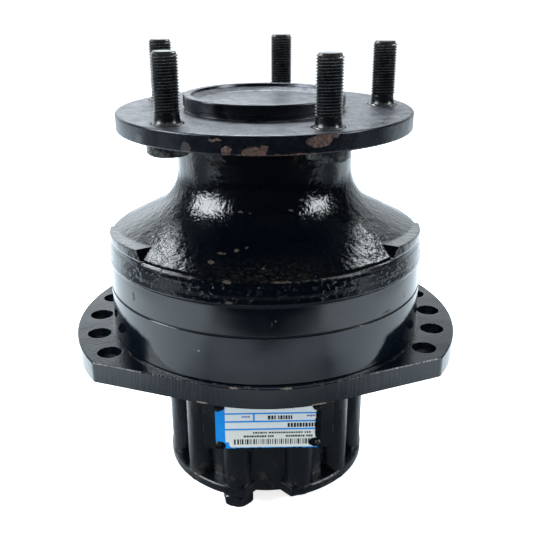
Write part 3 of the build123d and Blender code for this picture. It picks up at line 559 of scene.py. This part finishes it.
def threaded_stud(bm):
    """Wheel stud: round head, shank, flared collar and a real helical thread, as one closed mesh."""
    rings = [ring(bm, radius, z) for radius, z in stud_profile()]
    for below, above in zip(rings, rings[1:]):
        skin(bm, below, above)
    bm.faces.new(rings[0])
    per_pitch = len(THREAD_SHAPE)
    rows = per_pitch * (TURNS_SPARE + math.ceil((STUDS_HIGH.z - STUD_COLLAR_TOP) / STUD_PITCH))
    grid = [[bm.verts.new(thread_point(row, side)) for side in range(STUD_SIDES)] for row in range(rows)]
    for row in range(rows - per_pitch - 1):
        for side in range(STUD_SIDES):
            # the last column meets the first one a whole pitch further up
            lift = per_pitch if side == STUD_SIDES - 1 else 0
            after = (side + 1) % STUD_SIDES
            low_right, high_right = grid[row + lift][after], grid[row + 1 + lift][after]
            bm.faces.new((grid[row][side], low_right, high_right, grid[row + 1][side]))
    bmesh.ops.remove_doubles(bm, verts=bm.verts, dist=WELD)
    bmesh.ops.dissolve_degenerate(bm, edges=bm.edges, dist=WELD / 2)
    open_edges = [e for e in bm.edges if e.is_boundary]
    top = [e for e in open_edges if all(abs(v.co.z - STUDS_HIGH.z) < WELD / 2 for v in e.verts)]
    bmesh.ops.contextual_create(bm, geom=top)
    loose = [v for v in bm.verts if not v.link_faces]
    bmesh.ops.delete(bm, geom=loose, context="VERTS")


def make_studs(finish):
    """Five threaded studs in place of the plain ones in the CAD. They turn with the flange."""
    for number in range(STUD_COUNT):
        stud = piece_from(f"wheel_stud_{number + 1}", threaded_stud, finish)
        turn = math.radians(STUD_FIRST_ANGLE + 360 / STUD_COUNT * number)
        stud.matrix_world = Matrix.Translation((STUD_PCR * math.cos(turn), STUD_PCR * math.sin(turn), 0.0))
        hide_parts("wheel_studs")
        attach(stud, "rotor")


def rounded_box(x0, x1, z0, z1, radius):
    """Outline of a box in the XZ plane as (x, z) points, with rounded corners where radius is above 0."""
    steps = 6 if radius > 0 else 0
    outline = []
    for x, z, start in ((x1, z0, -90), (x1, z1, 0), (x0, z1, 90), (x0, z0, 180)):
        inward_x = x - math.copysign(radius, x - (x0 + x1) / 2)
        inward_z = z - math.copysign(radius, z - (z0 + z1) / 2)
        for step in range(steps + 1):
            turn = math.radians(start + 90 * step / max(steps, 1))
            outline.append((inward_x + radius * math.cos(turn), inward_z + radius * math.sin(turn)))
    return outline


def slabs(boxes, front, thick, corner=0.0):
    """Flat plates lying on the name plate. A box is (x from, x to, z from, z to) in metres."""
    def build(bm):
        for box in boxes:
            outline = rounded_box(*box, corner)
            face = bm.faces.new([bm.verts.new((x, front, z)) for x, z in outline])
            grown = bmesh.ops.extrude_face_region(bm, geom=[face])["geom"]
            moved = [v for v in grown if isinstance(v, bmesh.types.BMVert)]
            bmesh.ops.translate(bm, verts=moved, vec=(0.0, -thick, 0.0))
    return build


def dashes(rng, start, end, low, high, gap):
    """Row of short blocks of uneven width that stands for a printed line."""
    shortest, longest, word_gap, word_share = 0.8, 1.5, 3.0, 0.12
    last_start = end - 1.2 * MM
    boxes, x = [], start
    while x < last_start:
        width = rng.uniform(shortest, longest) * MM
        boxes.append((x, min(x + width, end), low, high))
        x += width + gap * (word_gap if rng.random() < word_share else 1.0)
    return boxes


def bars(rng, start, end, low, high):
    """Upright bars of uneven width, in no code."""
    widths, gaps = (0.35, 0.55, 0.8, 1.05), (0.45, 0.6, 0.85)
    boxes, x = [], start
    while x < end:
        width = rng.choice(widths) * MM
        boxes.append((x, x + width, low, high))
        x += width + rng.choice(gaps) * MM
    return boxes


def make_label():
    """Off-white fields and a rounded sticker on the blue name plate, with blocks where print would be."""
    rng = random.Random(11)
    left, right, top, front = LABEL_LOW.x, LABEL_HIGH.x, LABEL_HIGH.z, LABEL_LOW.y
    film, ink_film, sticker_film = 0.05 * MM, 0.02 * MM, 0.12 * MM
    strip, margin, rule = 5.6 * MM, 1.3 * MM, 1.0 * MM

    def printed(start, end, base, foot, crown, gap):
        """One line of print from start to end, its foot and crown in millimetres off base."""
        return dashes(rng, start, end, base + foot * MM, base + crown * MM, gap * MM)

    # fields, from the top down
    field_left, field_right, split = left + strip, right - margin, left + 22.3 * MM
    title_high, title_low, code_high, code_low, type_high, type_low, text_high, text_low = [
        top - down * MM for down in (0.9, 6.9, 7.9, 12.2, 13.3, 17.4, 18.5, 26.5)]
    fields = [
        (field_left, field_right, title_low, title_high),
        (field_left, split - rule / 2, code_low, code_high),
        (split + rule / 2, field_right, code_low, code_high),
        (field_left, field_right, type_low, type_high),
        (field_left, field_right, text_low, text_high),
    ]

    # sticker over the lower fields
    x0, x1 = left + 7.7 * MM, right - 2.8 * MM
    z0, z1 = LABEL_LOW.z + 0.9 * MM, LABEL_LOW.z + 12.2 * MM
    sticker_print = bars(rng, x0 + 2.8 * MM, x1 - 3.4 * MM, z0 + 1.9 * MM, z0 + 5.5 * MM)
    sticker_print += printed(x0 + 14 * MM, x1 - 1.8 * MM, z1, -2.1, -1.0, 0.35)
    sticker_print += printed(x0 + 8.5 * MM, x0 + 27 * MM, z1, -4.6, -3.3, 0.3)
    sticker_print += printed(x0 + 33 * MM, x1 - 1.8 * MM, z1, -4.6, -3.3, 0.3)

    big = printed(split + 8 * MM, split + 23 * MM, code_low, 0.7, 3.3, 0.45)
    big += printed(field_right - 18 * MM, field_right - 0.8 * MM, type_low, 0.6, 3.4, 0.45)
    words = printed(field_right - 7 * MM, field_right - 1.2 * MM, code_high, -1.9, -0.8, 0.25)
    words += printed(split - 7 * MM, split - 1.6 * MM, code_high, -2.1, -1.1, 0.25)
    paper = print_finish("label_fields", (0.66, 0.68, 0.67), (0.30, 0.30, 0.27), 0.58)
    ink = print_finish("label_ink", (0.018, 0.018, 0.022), (0.10, 0.10, 0.10), 0.55)
    violet = print_finish("label_small_print", (0.13, 0.12, 0.36), (0.3, 0.3, 0.4), 0.6)
    white = print_finish("label_sticker_film", (0.66, 0.65, 0.60), (0.36, 0.35, 0.31), 0.62)
    for name, build, finish in (
        ("label_fields", slabs(fields, front, film), paper),
        ("label_blocks", slabs(big, front - film, ink_film), ink),
        ("label_small_blocks", slabs(words, front - film, ink_film), violet),
        ("label_sticker", slabs([(x0, x1, z0, z1)], front, sticker_film, 2.2 * MM), white),
        ("label_sticker_bars", slabs(sticker_print, front - sticker_film, ink_film), ink),
    ):
        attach(piece_from(name, build, finish), "housing")


# ---------------------------------------------------------------- studio

SOFTBOX_FAR = 1.3
AIM = Vector((0.0, 0.0, 0.06))


def softbox(name, azimuth, elevation, wide, high, power):
    """Area light aimed at the motor. Its azimuth is counted from the front, towards +X."""
    flat = math.cos(math.radians(elevation)) * SOFTBOX_FAR
    place = AIM + Vector(around(flat, azimuth, math.sin(math.radians(elevation)) * SOFTBOX_FAR))
    data = bpy.data.lights.new(name, "AREA")
    data.shape = "RECTANGLE"
    data.size, data.size_y = wide, high
    data.energy = power
    data.color = (0.90, 0.96, 1.0)
    light = bpy.data.objects.new(name, data)
    bpy.context.scene.collection.objects.link(light)
    light.location = place
    light.rotation_mode = "QUATERNION"
    light.rotation_quaternion = (AIM - place).to_track_quat("-Z", "Y")


def studio_world():
    """White to the camera. In reflections it is bright behind the motor and dark on the camera's side."""
    world = bpy.data.worlds.new("studio")
    bpy.context.scene.world = world
    sky = Tree(world, "Generated")
    behind = sky.ramp(sky.axis("Y"), 0.42, 0.86, 0.012, 1.0)
    height = sky.ramp(sky.axis("Z"), 0.40, 0.56, 2.0, 0.42)
    left_side = sky.ramp(sky.axis("X"), -0.10, 0.45, 1.0, 0.55)
    room = sky.times(sky.times(behind, height), left_side)
    rays = sky.node("ShaderNodeLightPath").outputs
    backdrop = sky.times(rays["Is Camera Ray"], 2.0)
    fill = sky.times(rays["Is Diffuse Ray"], 0.40)
    background = sky.nodes["Background"]
    background.inputs["Color"].default_value = (0.87, 0.95, 1.0, 1.0)
    sky.feed(background.inputs["Strength"], sky.most(room, sky.most(backdrop, fill)))


def floor_finish():
    """Plain white sheet. In reflections it darkens: painted shadow under the plate and painted shade
    further to the front.
    """
    white, reflected_shadow_black = (0.86, 0.92, 0.96), (0.004, 0.006, 0.009)
    unlit, glow = (0.0, 0.0, 0.0), (0.80, 0.78, 0.77)
    paint = Finish("floor_white", {"Specular IOR Level": 0.1, "Emission Strength": 1.0})
    rays = paint.node("ShaderNodeLightPath").outputs
    y, aside = paint.axis("Y"), paint.away(paint.axis("X"))
    beside = paint.most(paint.ramp(y, -0.10, 0.03), paint.ramp(aside, 0.11, 0.27))
    beside = paint.times(beside, paint.ramp(aside, 0.38, 0.50, 1.0, 0.0))
    ahead = paint.most(beside, paint.ramp(y, -0.30, -0.17, 0.62, 0.14))
    lit = paint.times(ahead, paint.ramp(y, -0.39, -0.31))
    lit = paint.most(lit, paint.ramp(y, 0.12, 0.30))
    # painted shadow and shade: glossy rays see the floor near-black wherever it is not marked lit
    reflected_shadow = paint.times(paint.math("SUBTRACT", 1.0, lit), rays["Is Glossy Ray"])
    paint.feed(paint.shader.inputs["Emission Color"], paint.mix(rays["Is Camera Ray"], unlit, glow))
    return paint.done(paint.mix(reflected_shadow, white, reflected_shadow_black), 0.9)


def make_floor():
    """Plain pale floor under the hex plugs that the motor stands on."""
    half = 12.0
    bm = bmesh.new()
    corners = ((-half, -half), (half, -half), (half, half), (-half, half))
    bm.faces.new([bm.verts.new((x, y, FLOOR_Z)) for x, y in corners])
    mesh = bpy.data.meshes.new("floor")
    bm.to_mesh(mesh)
    bm.free()
    mesh.materials.append(floor_finish())
    floor = bpy.data.objects.new("floor", mesh)
    bpy.context.scene.collection.objects.link(floor)


def make_camera():
    """Camera close by and a little above the studs' tips, which gives the strong perspective."""
    place = Vector((-8.2, -428.6, 196.4)) * MM
    yaw, pitch, roll = (math.radians(angle) for angle in (1.2, 21.08, -0.28))
    forward = Vector((math.sin(yaw) * math.cos(pitch), math.cos(yaw) * math.cos(pitch), -math.sin(pitch)))
    level = Vector((math.cos(yaw), -math.sin(yaw), 0.0))
    right = level * math.cos(roll) + level.cross(forward) * math.sin(roll)
    up = right.cross(forward)
    data = bpy.data.cameras.new("camera")
    data.sensor_width, data.lens = 36.0, 49.97         # millimetres
    data.clip_start, data.clip_end = 0.01, 60.0
    camera = bpy.data.objects.new("camera", data)
    bpy.context.scene.collection.objects.link(camera)
    camera.matrix_world = Matrix.Translation(place) @ Matrix((right, up, -forward)).transposed().to_4x4()
    bpy.context.scene.camera = camera


# ---------------------------------------------------------------- the object

def paint_nodes():
    """Gives every CAD node its finish: its own where it has one, or else its material slot's."""
    black_paint = smooth_paint("gloss_black_paint", 0.42, 0.08, 0.20)
    by_slot = {
        "cast_black_paint": black_paint,
        "machined_black_paint": black_paint,
        "flange_black": black_paint,
        "black_oxide": metal("black_oxide", (0.03, 0.031, 0.034), (0.06, 0.055, 0.05), 0.4),
        "bright_steel": metal("bright_steel", (0.55, 0.55, 0.54), (0.36, 0.35, 0.34), 0.28, 0.6 * MM),
        "ground_steel": metal("ground_steel", (0.62, 0.62, 0.62), (0.45, 0.45, 0.45), 0.16),
        "brass_cage": metal("brass_cage", (0.72, 0.50, 0.20), (0.48, 0.31, 0.12), 0.30),
        "copper_washer": metal("copper_washer", (0.72, 0.33, 0.20), (0.35, 0.16, 0.10), 0.35),
        "grey_iron": metal("grey_iron", (0.23, 0.23, 0.235), (0.14, 0.14, 0.14), 0.45, 0.8 * MM),
        "spring_steel": metal("spring_steel", (0.30, 0.29, 0.28), (0.18, 0.17, 0.16), 0.35),
        "rivet_steel": metal("rivet_steel", (0.05, 0.05, 0.052), (0.16, 0.15, 0.14), 0.42),
        "nitrile": rubber("nitrile"),
        "label_foil": print_finish("label_blue_foil", (0.002, 0.24, 0.68), (0.02, 0.05, 0.10), 0.58),
    }
    own = {
        "bearing_support": support_paint(),
        "distribution_cover": cover_paint(),
        "cam_ring": smooth_paint("cam_ring_paint", 0.38, 0.05, 0.12, [dab(93.7, -22.8, 18.2, 0.8, 0.6)]),
        "mounting_plate": plate_paint(),
        "plug_washers": smooth_paint("washer_paint", 0.36, 0.20, 0.35),
        "wheel_shaft": flange_finish(),
    }
    for name, node in NODES.items():
        slot = node.material_slots[0]
        slot_name = slot.material.name.split(".")[0]
        slot.material = own.get(name) or by_slot[slot_name]


def light_studio():
    """Two small boxes make the neck's highlights, and three wide ones light the sides and the flange.

    Azimuth and elevation in degrees, width and height in metres, power in watts.
    """
    for name, azimuth, elevation, wide, high, power in (
        ("rear_left_softbox", -135, 47, 0.21, 0.32, 2.8),
        ("rear_right_softbox", 139, 46, 0.27, 0.32, 3.6),
        ("side_left_softbox", -77, 29, 0.74, 0.60, 21.0),
        ("side_right_softbox", 70, 29, 0.40, 0.54, 9.5),
        ("rear_top_softbox", -172, 52, 0.60, 0.40, 22.0),
    ):
        softbox(name, azimuth, elevation, wide, high, power)


make_camera()
studio_world()
make_floor()
light_studio()
paint_nodes()
make_studs(stud_finish())
make_label()

bpy.context.scene.view_settings.view_transform = "Standard"
